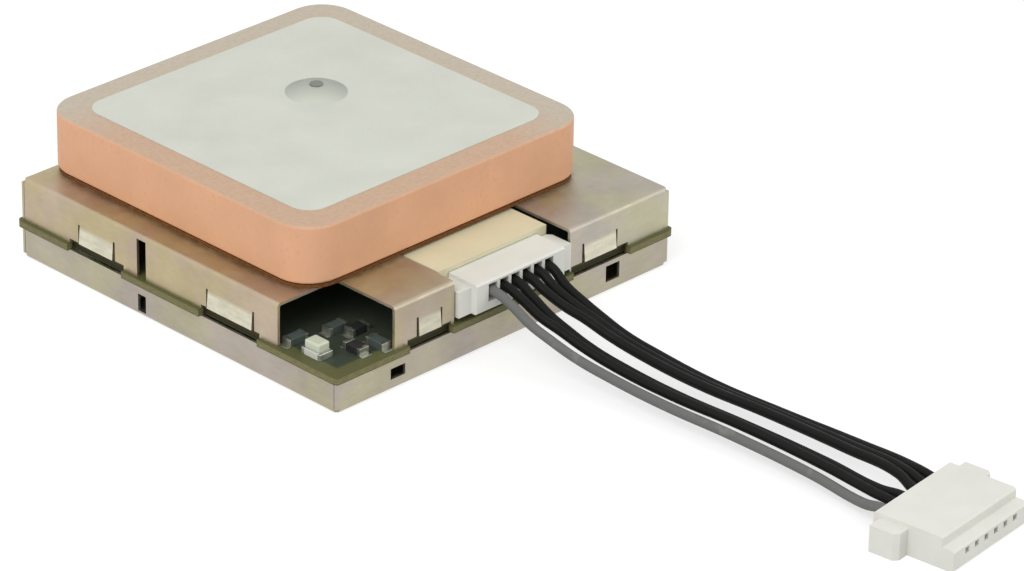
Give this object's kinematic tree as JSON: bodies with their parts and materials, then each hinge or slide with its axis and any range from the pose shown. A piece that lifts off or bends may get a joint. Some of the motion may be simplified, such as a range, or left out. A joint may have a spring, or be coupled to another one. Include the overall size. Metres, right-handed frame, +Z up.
{
  "type": "gps receiver module",
  "caption": "Square GPS receiver module in folded tin shield cans, with a ceramic patch antenna on top and a short wired lead that ends in a white plug.",
  "frame": {"origin": "middle of the lower can's flat underside", "axes": "+Z up from the underside to the antenna, the lead leaves towards -Y, +X to the right seen from the lead's side"},
  "size_m": [0.03, 0.0686, 0.0106],
  "materials": {
    "board": "satin",
    "tin": "satin",
    "ceramic": "matte",
    "silver": "matte",
    "adhesive": "matte",
    "solder": "satin",
    "cream_plastic": "satin",
    "white_plastic": "satin",
    "contact": "satin",
    "black_wire": "satin",
    "grey_wire": "satin",
    "chip": "matte",
    "lid": "satin",
    "lamp": "gloss",
    "capacitor": "satin"
  },
  "bodies": {
    "root": {"main_board": "board", "top_shield": "tin", "bottom_shield": "tin", "antenna_ceramic": "ceramic", "antenna_electrode": "silver", "antenna_ground": "silver", "antenna_adhesive_pad": "adhesive", "feed_pin": "solder", "feed_solder": "solder", "feed_board_joint": "solder", "header_housing": "cream_plastic", "header_contacts": "contact", "header_tabs": "solder", "board_plug_housing": "white_plastic", "board_plug_terminals": "contact", "wire_1": "grey_wire", "wire_2": "black_wire", "wire_3": "black_wire", "wire_4": "black_wire", "wire_5": "black_wire", "wire_6": "black_wire", "far_plug_housing": "white_plastic", "far_plug_terminals": "contact", "receiver_chip": "chip", "receiver_balls": "solder", "amplifier": "chip", "saw_filter": "lid", "reference_oscillator": "lid", "clock_crystal": "lid", "voltage_regulator": "chip", "backup_capacitor": "lid", "status_led": "lamp", "chip_capacitors": "capacitor", "chip_resistors": "chip", "chip_inductors": "capacitor"}
  },
  "joints": []
}
